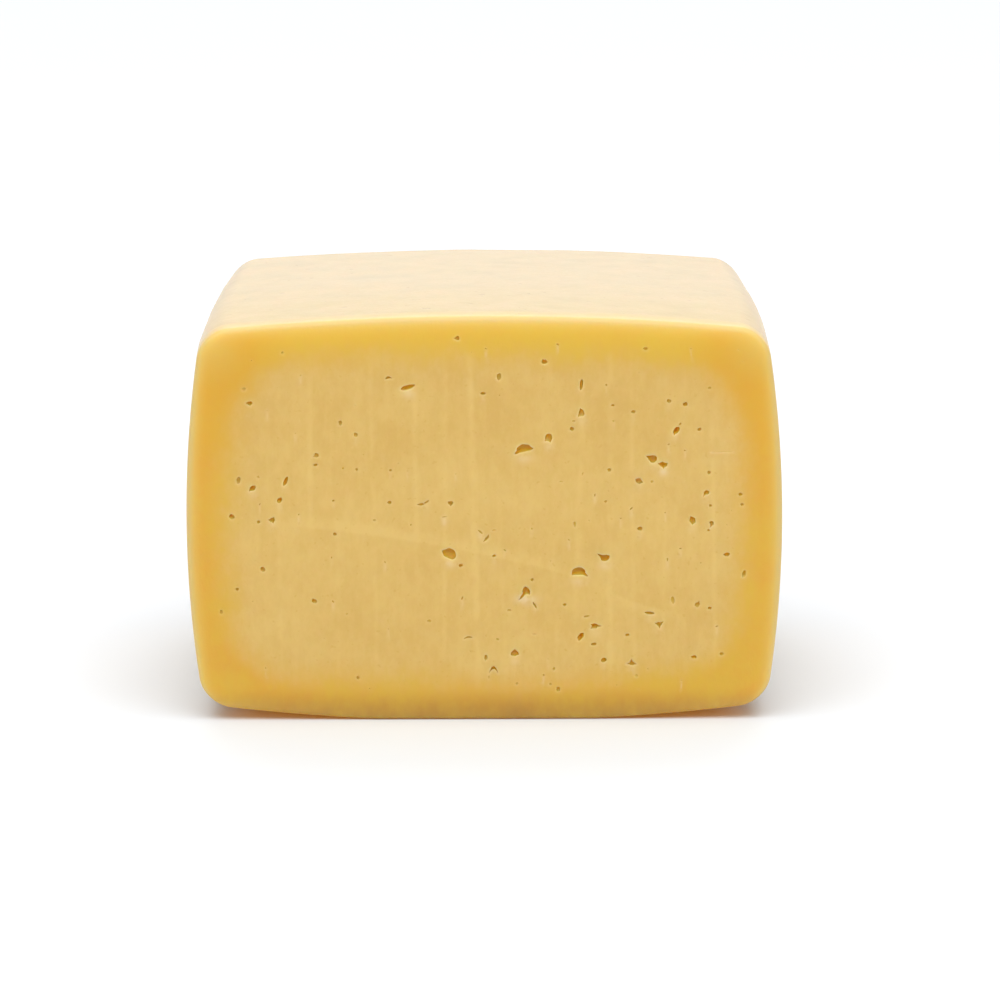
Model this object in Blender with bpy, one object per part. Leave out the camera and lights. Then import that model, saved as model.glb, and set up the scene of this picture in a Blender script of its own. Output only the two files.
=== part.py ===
"""Half of a brick-shaped, semi-hard cheese loaf, cut square across and resting on its underside.

The loaf was pressed in a mould: its faces are gently crowned, its long edges and its closed end
are rounded, and it narrows a little towards the closed end. The flat cut face looks along -Y and
the closed end along +Y. The origin is the middle of the footprint, at the level it rests on. The
fermentation eyes that the knife opened are shallow pockets in the cut face.
"""

import math
from dataclasses import dataclass

import bmesh
import bpy
from mathutils import Matrix, Vector

MM = 0.001

# The loaf as moulded, before it settled under its own weight.
WIDTH = 149.0 * MM
HEIGHT = 103.05 * MM
LENGTH = 127.2 * MM  # from the cut to the closed end: half of a loaf of about 254 mm
EDGE_RADIUS = 7.25 * MM  # the four long edges
END_RADIUS = 8.2 * MM  # the edges round the closed end
RIM_BEVEL = 0.8 * MM  # the softened edge that the knife left
SETTLE = 0.69 * MM  # how much of the crowned underside is pressed flat

# How far each face falls away from its middle line, measured at its edge.
TOP_CROWN = 3.55 * MM
BASE_CROWN = 4.54 * MM
CROWN_FADE = 0.36  # share of the crown that is gone at the closed end
TOP_DROP = 2.62 * MM  # the top is lower at the closed end
BASE_DROP = 1.0 * MM
SIDE_CROWN = 3.93 * MM
SIDE_TAPER = 5.33 * MM  # each side, from the cut to the closed end
END_CROWN_ACROSS = 2.98 * MM
END_CROWN_UP = 2.02 * MM

HALF_WIDTH = WIDTH / 2
HALF_HEIGHT = HEIGHT / 2

# Grid lines on the faces between the rounded edges, and within half of a rounded edge.
CELLS_ACROSS = 12
CELLS_ALONG = 10
CELLS_UP = 8
ARC_STEPS = 3

EYE_DEPTH_SHARE = 0.45  # depth of a pocket as a share of its mouth's width
EYE_SUBDIVISIONS = 2

PASTE_COLOUR = (0.730, 0.485, 0.162, 1.0)
PASTE_ROUGHNESS = 0.5
SMOOTH_UNDER = math.radians(35)
FACING_FRONT = -0.999  # a face whose normal's Y is below this belongs to the cut face


@dataclass(frozen=True)
class Eye:
    """One opened eye: its place on the cut face, the size of its mouth in mm and its tilt in degrees."""

    across: float
    up: float
    width: float
    height: float
    tilt: float = 0.0


EYES = (
    Eye(9.7, 68.8, 4.6, 2.3, 12),
    Eye(15.8, 71.7, 1.8, 2.2),
    Eye(23.8, 77.8, 1.7, 2.1),
    Eye(41.5, 66.5, 2.7, 2.2),
    Eye(44.6, 65.0, 2.2, 1.5),
    Eye(38.5, 60.7, 1.9, 2.0),
    Eye(-8.9, 42.3, 3.7, 2.7, -10),
    Eye(29.9, 41.4, 2.7, 1.9),
    Eye(23.8, 37.3, 3.5, 2.2),
    Eye(9.9, 32.6, 3.3, 2.9),
    Eye(27.7, 23.8, 2.3, 1.7),
    Eye(23.8, 21.0, 1.5, 2.0),
    Eye(43.5, 24.3, 2.1, 2.0),
    Eye(-19.3, 84.7, 3.8, 1.4, 17),
    Eye(7.1, 16.9, 1.7, 1.6),
    Eye(-58.2, 59.3, 1.8, 1.5),
    Eye(51.9, 50.7, 1.7, 1.5),
    Eye(36.8, 14.4, 2.1, 1.6),
)


def grid_lines(half, radius, cells):
    """Stations from -half to half, closer together where a rounded edge will be."""
    flat = half - radius
    middle = [flat * (2 * i / cells - 1) for i in range(cells + 1)]
    arc = [flat + radius * math.tan(math.radians(45) * i / ARC_STEPS) for i in range(1, ARC_STEPS)]
    return sorted([-station for station in arc] + middle + arc)


def cut_grid(bm):
    """Cuts grid lines round the box, across, along and up."""
    along = [station + LENGTH / 2 for station in grid_lines(LENGTH / 2, END_RADIUS, CELLS_ALONG)]
    lines = (
        (Vector((1, 0, 0)), grid_lines(HALF_WIDTH, EDGE_RADIUS, CELLS_ACROSS)),
        (Vector((0, 1, 0)), [station for station in along if station > END_RADIUS]),
        (Vector((0, 0, 1)), grid_lines(HALF_HEIGHT, EDGE_RADIUS, CELLS_UP)),
    )
    for direction, stations in lines:
        for station in stations:
            geometry = bm.verts[:] + bm.edges[:] + bm.faces[:]
            bmesh.ops.bisect_plane(bm, geom=geometry, plane_co=direction * station, plane_no=direction)


def rounded(point):
    """A point of the box, drawn in to the rounded long edges and the rounded closed end."""
    flat_across = HALF_WIDTH - EDGE_RADIUS
    flat_up = HALF_HEIGHT - EDGE_RADIUS
    inner = Vector((
        max(-flat_across, min(flat_across, point.x)),
        min(LENGTH - END_RADIUS, point.y),
        max(-flat_up, min(flat_up, point.z)),
    ))
    radii = Vector((EDGE_RADIUS, END_RADIUS, EDGE_RADIUS))
    share = Vector([(point[i] - inner[i]) / radii[i] for i in range(3)])
    if share.length == 0:
        return point.copy()
    share *= max(abs(value) for value in share) / share.length
    return inner + Vector([share[i] * radii[i] for i in range(3)])


def swollen(point):
    """A point of the rounded block, moved to where the crowned faces of the pressed loaf have it."""
    across = point.x / HALF_WIDTH
    along = point.y / LENGTH
    up = point.z / HALF_HEIGHT
    crown = TOP_CROWN if up > 0 else BASE_CROWN
    drop = TOP_DROP if up > 0 else BASE_DROP
    lowering = crown * across**2 * (1 - CROWN_FADE * along**2) + drop * along**2
    narrowing = SIDE_CROWN * up**2 + SIDE_TAPER * along**2
    shortening = END_CROWN_ACROSS * across**2 + END_CROWN_UP * up**2
    return Vector((
        point.x * (1 - narrowing / HALF_WIDTH),
        point.y * (1 - shortening / LENGTH),
        point.z * (1 - lowering / HALF_HEIGHT),
    ))


def rest_flat(bm):
    """Slices off the settled part of the underside and closes it with one flat face at height zero."""
    geometry = bm.verts[:] + bm.edges[:] + bm.faces[:]
    bmesh.ops.bisect_plane(
        bm, geom=geometry, plane_co=(0, 0, 0), plane_no=(0, 0, 1), clear_inner=True
    )
    footprint = [edge for edge in bm.edges if edge.is_boundary]
    bmesh.ops.edgeloop_fill(bm, edges=footprint)


def soften_rim(bm):
    """Takes the sharpness off the edge all round the cut face."""
    front = {face for face in bm.faces if face.normal.y < FACING_FRONT}
    rim = [edge for edge in bm.edges if len(front.intersection(edge.link_faces)) == 1]
    bmesh.ops.bevel(
        bm, geom=rim, offset=RIM_BEVEL, segments=2, profile=0.5, affect="EDGES", material=-1
    )


def loaf_mesh():
    """The half loaf without its eyes."""
    bm = bmesh.new()
    bmesh.ops.create_cube(bm, size=1.0)
    bmesh.ops.scale(bm, vec=(WIDTH, LENGTH, HEIGHT), verts=bm.verts)
    bmesh.ops.translate(bm, vec=(0, LENGTH / 2, 0), verts=bm.verts)
    cut_grid(bm)
    for vertex in bm.verts:
        vertex.co = swollen(rounded(vertex.co))
    bmesh.ops.translate(bm, vec=(0, -LENGTH / 2, HALF_HEIGHT - SETTLE), verts=bm.verts)
    rest_flat(bm)
    bmesh.ops.recalc_face_normals(bm, faces=bm.faces)
    bm.normal_update()
    soften_rim(bm)
    mesh = bpy.data.meshes.new("cheese_block")
    bm.to_mesh(mesh)
    bm.free()
    mesh.shade_smooth()
    mesh.set_sharp_from_angle(angle=SMOOTH_UNDER)
    return mesh


def eye_cutter(eye, index):
    """An egg-shaped cutter centred on the cut face, so that half of it becomes the pocket."""
    bm = bmesh.new()
    bmesh.ops.create_icosphere(bm, subdivisions=EYE_SUBDIVISIONS, radius=0.5)
    size = Vector((eye.width, 2 * EYE_DEPTH_SHARE * eye.width, eye.height)) * MM
    bmesh.ops.scale(bm, vec=size, verts=bm.verts)
    turn = Matrix.Rotation(math.radians(-eye.tilt), 3, "Y")
    bmesh.ops.rotate(bm, cent=(0, 0, 0), matrix=turn, verts=bm.verts)
    mesh = bpy.data.meshes.new(f"eye_cutter_{index}")
    bm.to_mesh(mesh)
    bm.free()
    cutter = bpy.data.objects.new(mesh.name, mesh)
    cutter.location = (eye.across * MM, -LENGTH / 2, eye.up * MM)
    cutter.hide_render = True
    cutter.display_type = "WIRE"
    return cutter


def cut_eyes(loaf, cutters):
    """Opens every eye of the cutters' collection in the loaf."""
    boolean = loaf.modifiers.new("eyes", "BOOLEAN")
    boolean.operation = "DIFFERENCE"
    boolean.operand_type = "COLLECTION"
    boolean.collection = cutters
    boolean.solver = "EXACT"


def cheese_material():
    """The golden-beige paste, with the soft shine of a cut cheese."""
    material = bpy.data.materials.new("cheese_paste")
    material.use_nodes = True
    shader = material.node_tree.nodes["Principled BSDF"]
    shader.inputs["Base Color"].default_value = PASTE_COLOUR
    shader.inputs["Roughness"].default_value = PASTE_ROUGHNESS
    shader.inputs["Metallic"].default_value = 0.0
    material.diffuse_color = PASTE_COLOUR
    return material


def clear_scene():
    """Removes whatever the file opened with."""
    for old in list(bpy.data.objects):
        bpy.data.objects.remove(old, do_unlink=True)


def new_collection(name):
    """An empty collection, linked to the scene."""
    collection = bpy.data.collections.new(name)
    bpy.context.scene.collection.children.link(collection)
    return collection


def main():
    """Builds the half loaf with its eyes."""
    clear_scene()
    parts = new_collection("half_cheese_loaf")
    cutters = new_collection("cutters")
    cutters.hide_render = True
    loaf = bpy.data.objects.new("cheese_block", loaf_mesh())
    loaf.data.materials.append(cheese_material())
    parts.objects.link(loaf)
    for index, eye in enumerate(EYES):
        cutters.objects.link(eye_cutter(eye, index))
    cut_eyes(loaf, cutters)


main()
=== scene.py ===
"""Dresses the half cheese loaf: its rind, its cut face with the opened eyes, and a plain studio.

The block is one cheese, so it is one piece. It is moulded as a straight box with rounded edges,
swollen to the crowned shape that pressing gives, settled flat where it rests, and then its eyes are
opened in the cut face. Lengths are in metres unless a name or a docstring says millimetres.
"""

import logging
import math
import random
from collections.abc import Callable
from dataclasses import dataclass
from enum import Enum

import bmesh
import bpy
import numpy as np
from mathutils import Matrix, Vector, noise


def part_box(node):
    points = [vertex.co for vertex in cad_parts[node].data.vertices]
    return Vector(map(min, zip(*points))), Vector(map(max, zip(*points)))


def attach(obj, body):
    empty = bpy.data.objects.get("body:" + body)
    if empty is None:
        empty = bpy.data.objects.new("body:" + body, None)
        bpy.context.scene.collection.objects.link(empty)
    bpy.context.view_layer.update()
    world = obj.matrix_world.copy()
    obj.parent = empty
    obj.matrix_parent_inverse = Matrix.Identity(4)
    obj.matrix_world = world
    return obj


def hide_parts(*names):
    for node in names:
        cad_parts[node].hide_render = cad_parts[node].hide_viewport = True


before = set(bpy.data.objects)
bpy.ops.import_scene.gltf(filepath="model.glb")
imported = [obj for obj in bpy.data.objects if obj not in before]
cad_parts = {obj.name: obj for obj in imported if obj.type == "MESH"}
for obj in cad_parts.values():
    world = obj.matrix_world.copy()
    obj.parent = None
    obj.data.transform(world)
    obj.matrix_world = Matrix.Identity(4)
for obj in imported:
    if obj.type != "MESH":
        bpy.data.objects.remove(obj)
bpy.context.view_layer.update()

MM = 0.001
NODE = "cheese_block"
SURFACE_SLACK = 0.02 * MM
FACING_FRONT = -0.99
CROWN_TURN = 1.0 * MM
POCKET_FLOOR = 1.6 * MM
POCKET_DEEPEST = 6.0 * MM
RIND_START = 1.6 * MM

log = logging.getLogger("half_loaf")

Colour = tuple[float, float, float, float]
Socket = bpy.types.NodeSocket
Solid = bmesh.types.BMesh


@dataclass(frozen=True)
class Step:
    """A soft step: 0 at start, its whole share at stop, which may be the smaller of the two."""

    start: float
    stop: float
    share: float = 1.0


@dataclass(frozen=True)
class Cloud:
    """Soft blotches: their size, their finer layers, and the factor on Z that draws them upright."""

    size: float
    detail: float = 2.0
    rough: float = 0.5
    upright: float = 1.0


def operation(name: str, swapped: bool = False) -> Callable[..., "Shade"]:
    """A method of Shade that stands for one Math node.

    Args:
        name: the node's operation.
        swapped: whether the shade is the second input.

    Returns:
        The method.
    """

    def method(shade: "Shade", *others: "Shade | float") -> "Shade":
        """The result of the operation on the shade and the other values."""
        values = (*others, shade) if swapped else (shade, *others)
        return shade.bench.maths(name, *values)

    return method


class Shade:
    """A number that varies over a surface, so that shader maths reads as plain sums."""

    __add__ = __radd__ = operation("ADD")
    __sub__ = operation("SUBTRACT")
    __rsub__ = operation("SUBTRACT", swapped=True)
    __mul__ = __rmul__ = operation("MULTIPLY")
    __truediv__ = operation("DIVIDE")
    __pow__ = operation("POWER")
    __abs__ = operation("ABSOLUTE")
    least = operation("MINIMUM")
    most = operation("MAXIMUM")
    root = operation("SQRT")

    def __init__(self, bench: "Bench", socket: Socket) -> None:
        """Wraps one output of a node tree."""
        self.bench = bench
        self.socket = socket

    def rise(self, start: float, stop: float) -> "Shade":
        """A soft step, 0 at start and 1 at stop, which may be the smaller of the two."""
        values = {"Value": self, "From Min": start, "From Max": stop}
        made = self.bench.node("ShaderNodeMapRange", {"interpolation_type": "SMOOTHSTEP"}, values)
        return Shade(self.bench, made.outputs["Result"])

    def step(self, step: Step) -> "Shade":
        """A soft step of the value, times the step's share."""
        return self.rise(step.start, step.stop) * step.share

    def ridge(self, reach: float) -> "Shade":
        """A soft line where the value passes 0, gone at reach on either side."""
        return abs(self).rise(reach, 0.0)


class Bench:
    """One node tree, and the few ways in which nodes are added to it."""

    def __init__(self, owner: bpy.types.ID, shader: str = "Principled BSDF") -> None:
        """Opens the node tree of a new material or world.

        Args:
            owner: the material or the world.
            shader: the name of the shader node that it starts with.
        """
        owner.use_nodes = True
        self.tree = owner.node_tree
        self.shader = self.tree.nodes[shader]

    def set(self, **values: object) -> None:
        """Feeds the shader's own sockets, by their names with underscores for spaces."""
        for name, value in values.items():
            self.feed(self.shader.inputs[name.replace("_", " ")], value)

    def node(self, kind: str, settings: dict | None = None, values: dict | None = None) -> bpy.types.Node:
        """Adds one node.

        Args:
            kind: the node's type name.
            settings: its own settings, which are set first.
            values: plain values or links for its input sockets, by name or by index.

        Returns:
            The node.
        """
        made = self.tree.nodes.new(kind)
        for key, value in (settings or {}).items():
            setattr(made, key, value)
        for key, value in (values or {}).items():
            self.feed(made.inputs[key], value)
        return made

    def feed(self, socket: Socket, value: object) -> None:
        """Gives an input socket a plain value, or links it to an output.

        Args:
            socket: the input.
            value: a number, a tuple, a Shade or an output socket.
        """
        if isinstance(value, Shade):
            value = value.socket
        if isinstance(value, Socket):
            self.tree.links.new(value, socket)
        else:
            socket.default_value = value

    def maths(self, operation: str, *values: "Shade | float") -> Shade:
        """The result of one Math node, with its inputs in order."""
        made = self.node("ShaderNodeMath", {"operation": operation}, dict(enumerate(values)))
        return Shade(self, made.outputs[0])

    def place(self) -> Socket:
        """The object's own coordinates, in metres."""
        return self.node("ShaderNodeTexCoord").outputs["Object"]

    def axes(self, place: Socket) -> tuple[Shade, Shade, Shade]:
        """The X, Y and Z of a place."""
        made = self.node("ShaderNodeSeparateXYZ", values={"Vector": place})
        return tuple(Shade(self, output) for output in made.outputs)

    def cloud(self, place: Socket, cloud: Cloud) -> Shade:
        """Soft blotches from 0 to 1, about one half on average.

        Args:
            place: the vector that they lie on.
            cloud: their size and their layers.

        Returns:
            The blotches.
        """
        if cloud.upright != 1.0:
            scales = {0: place, 1: (1.0, 1.0, cloud.upright)}
            place = self.node("ShaderNodeVectorMath", {"operation": "MULTIPLY"}, scales).outputs[0]
        values = {"Vector": place, "Scale": 1.0 / cloud.size}
        values |= {"Detail": cloud.detail, "Roughness": cloud.rough}
        return Shade(self, self.node("ShaderNodeTexNoise", values=values).outputs["Fac"])

    def mark(self, name: str) -> Shade:
        """A number painted on the mesh, by its attribute's name."""
        return Shade(self, self.node("ShaderNodeAttribute", {"attribute_name": name}).outputs["Fac"])

    def blend(self, share: "Shade | float", low: object, high: object) -> Socket:
        """A colour between two others, which is low at share 0 and high at share 1."""
        settings = {"data_type": "RGBA", "clamp_factor": True}
        return self.node("ShaderNodeMix", settings, {"Factor": share, 6: low, 7: high}).outputs[2]

    def relief(self, height: Shade, depth: float) -> Socket:
        """A surface normal tilted by a fine relief, whose height from 0 to 1 stands for depth."""
        values = {"Height": height, "Distance": depth, "Strength": 1.0}
        return self.node("ShaderNodeBump", values=values).outputs["Normal"]


@dataclass(frozen=True)
class KnifeLine:
    """A faint curved step that the knife left: part of a circle on the cut face, in mm."""

    across: float
    up: float
    radius: float
    first: float
    last: float


@dataclass(frozen=True)
class Streak:
    """A faint pale line that the knife dragged down the cut face, in mm."""

    across_high: float
    across_low: float
    width: float
    strength: float
    high: float = 97.0
    low: float = 4.0


@dataclass(frozen=True)
class KnifeMarks:
    """All the marks of the knife, in mm, and how softly they end."""

    streak_spread: float = 1.6
    streak_end: float = 6.0
    streak_patches: Step = Step(0.25, 0.65)
    line_rise: Step = Step(-0.6 * MM, 0.5 * MM)
    line_fall: Step = Step(4.0 * MM, 0.3 * MM)
    line_first: Step = Step(-8.0, 4.0)
    line_last: Step = Step(4.0, -4.0)
    streaks: tuple[Streak, ...] = (
        Streak(-3.6, -1.4, 0.95, 1.0),
        Streak(31.6, 31.4, 0.80, 0.9),
        Streak(25.2, 22.8, 0.90, 0.6, low=28.0),
        Streak(36.6, 37.6, 0.60, 0.5),
        Streak(-17.4, -16.6, 0.80, 0.7, high=90.0, low=34.0),
        Streak(-28.4, -27.0, 0.70, 0.5, low=14.0),
        Streak(-43.6, -43.4, 0.80, 0.6, low=50.0),
        Streak(-9.4, -10.2, 0.70, 0.6),
        Streak(57.0, 57.9, 0.70, 0.7, high=74.0),
        Streak(45.3, 44.0, 0.60, 0.4, high=52.0),
        Streak(-36.6, -36.4, 0.60, 0.4, high=48.0),
        Streak(3.2, 5.6, 0.60, 0.4, high=60.0),
        Streak(17.2, 18.2, 0.60, 0.4, high=48.0),
        Streak(-51.4, -50.8, 0.60, 0.4, high=64.0),
    )
    lines: tuple[KnifeLine, ...] = (
        KnifeLine(-77.0, -301.2, 351.9, -44.0, 21.0),
        KnifeLine(54.0, 75.0, 48.0, 32.2, 47.2),
    )


@dataclass(frozen=True)
class Grain:
    """The soft patterns that mottle the paste and the rind."""

    drag: Cloud = Cloud(1.1 * MM, 3.0, upright=0.03)
    curd: Cloud = Cloud(2.6 * MM, 3.0, 0.6, upright=0.6)
    bloom: Cloud = Cloud(17 * MM, 3.0)
    blotch: Cloud = Cloud(11 * MM, 4.0, 0.62)
    speck: Cloud = Cloud(0.7 * MM)
    patch: Cloud = Cloud(9 * MM)
    fleck: Cloud = Cloud(1.3 * MM, 1.0)
    fine: Cloud = Cloud(1.6 * MM, 3.0, 0.6)
    pore: Cloud = Cloud(2.4 * MM, 1.0)


@dataclass(frozen=True)
class PasteFinish:
    """The paste inside the gold frame, and how much each pattern makes it paler or darker."""

    paste: Colour = (0.594, 0.386, 0.099, 1.0)
    pale: Colour = (0.660, 0.468, 0.150, 1.0)
    curd: Step = Step(0.28, 0.72, 0.45)
    drag: float = 0.2
    bloom: Step = Step(0.3, 0.7, 0.3)
    streaks: float = 0.6
    # the knife's steps are a real relief, and their paler side is a painted highlight
    knife_lines: float = 0.45
    high_up: Step = Step(55 * MM, 95 * MM, -0.3)
    pale_fleck: Step = Step(0.64, 0.8, 0.2)
    dark_fleck: Step = Step(0.34, 0.22, -0.6)


@dataclass(frozen=True)
class GoldFinish:
    """The gold frame that the paste has near the rind: its colours, its reach and its raggedness."""

    gold: Colour = (0.620, 0.392, 0.036, 1.0)
    high: Colour = (0.630, 0.430, 0.038, 1.0)
    deep: Colour = (0.625, 0.345, 0.032, 1.0)
    warm: Colour = (0.625, 0.345, 0.018, 1.0)
    reach: Step = Step(16.0 * MM, 4.6 * MM)
    corner: float = 25.0 * MM
    ragged_bloom: float = 6.0 * MM
    ragged_blotch: float = 5.0 * MM
    ragged_curd: float = 3.0 * MM
    deep_bloom: Step = Step(0.35, 0.65, 0.7)
    deep_curd: Step = Step(0.3, 0.7, 0.45)
    deep_from: float = 0.135
    high_up: Step = Step(84 * MM, 97 * MM, 0.6)
    warm_across: Step = Step(46 * MM, 62 * MM)
    warm_up: Step = Step(52 * MM, 84 * MM, 0.75)


@dataclass(frozen=True)
class BorderFinish:
    """Painted light round the cut face: a paler band near the rind (painted highlight), a greyer band at
    its very edge (painted sheen), and a brown band along its lower edge (painted shade).
    """

    # painted highlight: paler near the top and sides of the cut face and in its upper corners, fading
    # along the lower edge
    crest_highlight: Colour = (0.612, 0.478, 0.118, 1.0)
    # painted sheen: a greyer band at the very edge of the cut face
    rim: Colour = (0.490, 0.375, 0.160, 1.0)
    # painted shade: the cut face darkens to brown along its lower edge
    foot_shade: Colour = (0.360, 0.190, 0.028, 1.0)
    crest_highlight_reach: Step = Step(5.5 * MM, 0.0)
    crest_highlight_share: float = 0.85
    crest_lost_at_foot: float = 0.75
    highlight_corner_across: Step = Step(57 * MM, 70 * MM)
    highlight_corner_up: Step = Step(83 * MM, 98 * MM, 0.6)
    rim_sheen_reach: Step = Step(2.2 * MM, 0.1 * MM, 0.85)
    foot_shade_reach: Step = Step(9.0 * MM, 0.0)
    foot_shade_share: float = 0.7
    foot_shade_bloom: float = 0.6
    foot_shade_curd: float = 0.5


@dataclass(frozen=True)
class EyeFinish:
    """The walls of the eyes in a deeper ochre (painted shade), the paler colour of their lips (painted
    highlight), and the smears of paste below them.
    """

    # painted shade: the eye walls a deeper ochre, darker near the mouth
    pocket_shade: Colour = (0.660, 0.385, 0.008, 1.0)
    pocket_rim_shade: Colour = (0.520, 0.355, 0.036, 1.0)
    # painted highlight: the lips of the eyes paler, most on their lower side
    lip_and_highlight: Colour = (0.720, 0.530, 0.235, 1.0)
    smear: Colour = (0.700, 0.530, 0.280, 1.0)
    lip_highlight_share: float = 0.6
    smear_curd: Step = Step(0.25, 0.55)


@dataclass(frozen=True)
class RindFinish:
    """The rind: its sides, its top painted darker against the light from above (painted shade), and its
    underside painted orange and glowing (painted light).
    """

    rind: Colour = (0.600, 0.370, 0.075, 1.0)
    deep: Colour = (0.540, 0.305, 0.045, 1.0)
    pale: Colour = (0.660, 0.450, 0.140, 1.0)
    # painted shade: the top is darker than the sides to offset the strong light from above, and darker
    # still near the cut
    top: Colour = (0.408, 0.281, 0.087, 1.0)
    top_near: Colour = (0.405, 0.255, 0.002, 1.0)
    pore: Colour = (0.300, 0.180, 0.040, 1.0)
    # painted light: the underside near the cut is painted deep orange and glows, standing in for the
    # orange light under the lifted corners
    under: Colour = (0.700, 0.300, 0.015, 1.0)
    glow: Colour = (0.290, 0.112, 0.0, 1.0)
    no_painted_glow: Colour = (0.0, 0.0, 0.0, 1.0)
    painted_glow_reach: Step = Step(42.0 * MM, 0.0)
    near: Step = Step(62 * MM, 0.0, 0.82)
    nearest: Step = Step(15 * MM, 0.0, 0.18)
    blotch: Step = Step(0.3, 0.7)
    fine: Step = Step(0.5, 0.8, 0.3)
    pores: Step = Step(0.72, 0.8)
    pore_share: float = 0.55
    top_share: float = 0.78
    top_mottle: float = 1.1


@dataclass(frozen=True)
class Surface:
    """The fine relief, the shine, and how light scatters under the surface."""

    relief: float = 0.12 * MM
    drag: float = 0.2
    speck: float = 0.2
    curd: float = 0.7
    streaks: float = 0.2
    knife_lines: float = 0.3
    fine: float = 0.5
    blotch: float = 0.8
    pores: float = 0.8
    roughness: float = 0.46
    roughness_speck: float = 0.12
    roughness_blotch: float = 0.2
    crest_coat: float = 0.2
    coat_roughness: float = 0.27
    scatter_scale: float = 0.007
    scatter_radius: tuple[float, float, float] = (1.0, 0.65, 0.35)
    refraction: float = 1.45


@dataclass(frozen=True)
class CheeseFinish:
    """Everything that the cheese's material is made from."""

    knife: KnifeMarks = KnifeMarks()
    grain: Grain = Grain()
    paste: PasteFinish = PasteFinish()
    gold: GoldFinish = GoldFinish()
    border: BorderFinish = BorderFinish()
    eyes: EyeFinish = EyeFinish()
    rind: RindFinish = RindFinish()
    surface: Surface = Surface()


@dataclass
class Mould:
    """The loaf's shape: a straight box with rounded edges, and how far pressing swells its faces."""

    width: float
    length: float
    rest_height: float
    settle: float = 0.69 * MM
    edge_radius: float = 7.25 * MM
    end_radius: float = 8.2 * MM
    top_crown: float = 3.55 * MM
    base_crown: float = 4.54 * MM
    crown_fade: float = 0.36
    top_drop: float = 2.62 * MM
    base_drop: float = 1.0 * MM
    side_crown: float = 3.93 * MM
    side_taper: float = 5.33 * MM
    end_crown_across: float = 2.98 * MM
    end_crown_up: float = 2.02 * MM
    roll_high: float = 1.5 * MM
    roll_low: float = 0.25 * MM
    roll_reach: float = 11.0 * MM

    @property
    def half_width(self) -> float:
        """Half of the greatest width."""
        return self.width / 2

    @property
    def half_height(self) -> float:
        """Half of the height before the block settled."""
        return (self.rest_height + self.settle) / 2

    @property
    def middle(self) -> float:
        """The height of the box's middle above the resting surface."""
        return self.half_height - self.settle

    def rounded(self, point: Vector) -> Vector:
        """Draws a point of the straight box in to the rounded edges.

        Args:
            point: a point on the box, with Y measured from the cut and Z from mid-height.

        Returns:
            The point on the rounded box.
        """
        flat_across = self.half_width - self.edge_radius
        flat_up = self.half_height - self.edge_radius
        inner = Vector((
            max(-flat_across, min(flat_across, point.x)),
            min(self.length - self.end_radius, point.y),
            max(-flat_up, min(flat_up, point.z)),
        ))
        radii = (self.edge_radius, self.end_radius, self.edge_radius)
        share = Vector([(point[i] - inner[i]) / radii[i] for i in range(3)])
        if share.length == 0:
            return point.copy()
        share *= max(abs(value) for value in share) / share.length
        return inner + Vector([share[i] * radii[i] for i in range(3)])

    def swollen(self, point: Vector) -> Vector:
        """Moves a point of the rounded box to where the crowned faces have it.

        Args:
            point: a point on the rounded box, with Y from the cut and Z from mid-height.

        Returns:
            The point on the pressed loaf.
        """
        across = point.x / self.half_width
        along = point.y / self.length
        up = point.z / self.half_height
        crown = self.top_crown if up > 0 else self.base_crown
        drop = self.top_drop if up > 0 else self.base_drop
        lowering = crown * across**2 * (1 - self.crown_fade * along**2) + drop * along**2
        narrowing = self.side_crown * up**2 + self.side_taper * along**2
        shortening = self.end_crown_across * across**2 + self.end_crown_up * up**2
        return Vector((
            point.x * (1 - narrowing / self.half_width),
            point.y * (1 - shortening / self.length),
            point.z * (1 - lowering / self.half_height),
        ))

    def rind_depth(self, across: np.ndarray, up: np.ndarray) -> np.ndarray:
        """How deep points of the cut face lie under the nearest rind.

        Args:
            across: their X.
            up: their Z above the resting surface.

        Returns:
            Their depths, in metres.
        """
        height = up - self.middle
        crown = np.where(height > 0, self.top_crown, self.base_crown)
        side = self.half_width - self.side_crown * (height / self.half_height) ** 2 - np.abs(across)
        face = self.half_height - crown * (across / self.half_width) ** 2 - np.abs(height)
        past_side = np.maximum(self.edge_radius - side, 0)
        past_face = np.maximum(self.edge_radius - face, 0)
        corner = self.edge_radius - np.hypot(past_side, past_face)
        return np.where((past_side > 0) & (past_face > 0), corner, np.minimum(side, face))

    def roll_back(self, across: np.ndarray, up: np.ndarray) -> np.ndarray:
        """How far the border of the cut face curls back, as relaxed paste does near the rind.

        Args:
            across: X of the points.
            up: their Z above the resting surface.

        Returns:
            How far behind the flat of the cut they lie, in metres.
        """
        share = np.clip(1 - self.rind_depth(across, up) / self.roll_reach, 0, 1)
        height = np.clip(up / self.rest_height, 0, 1)
        return (self.roll_low + (self.roll_high - self.roll_low) * height) * share**3


class Opening(Enum):
    """How an eye was opened: what its walls do behind the mouth, as (share of depth, scale) steps."""

    BUBBLE = ((0.18, 1.04), (0.42, 1.02), (0.66, 0.86), (0.86, 0.58), (1.0, 0.2))
    CHINK = ((0.3, 0.92), (0.62, 0.72), (0.88, 0.42), (1.0, 0.16))
    CRACK = ((0.45, 0.86), (0.8, 0.55), (1.0, 0.2))
    PIN = ((0.6, 0.8), (1.0, 0.3))


@dataclass(frozen=True)
class Raggedness:
    """How uneven the mouths of the eyes are, the small ones most, and how their tips taper."""

    small_under: float = 2.6
    coarse: float = 0.11
    coarse_small: float = 0.3
    coarse_waves: float = 1.6
    fine_small: float = 0.35
    fine_waves: float = 3.2
    fine_shift: float = 7.0
    seed_across: float = 3.1
    seed_up: float = 1.7
    tip_spread: float = 24.0
    tip_taper: float = 1.6


RAGGED = Raggedness()


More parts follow.
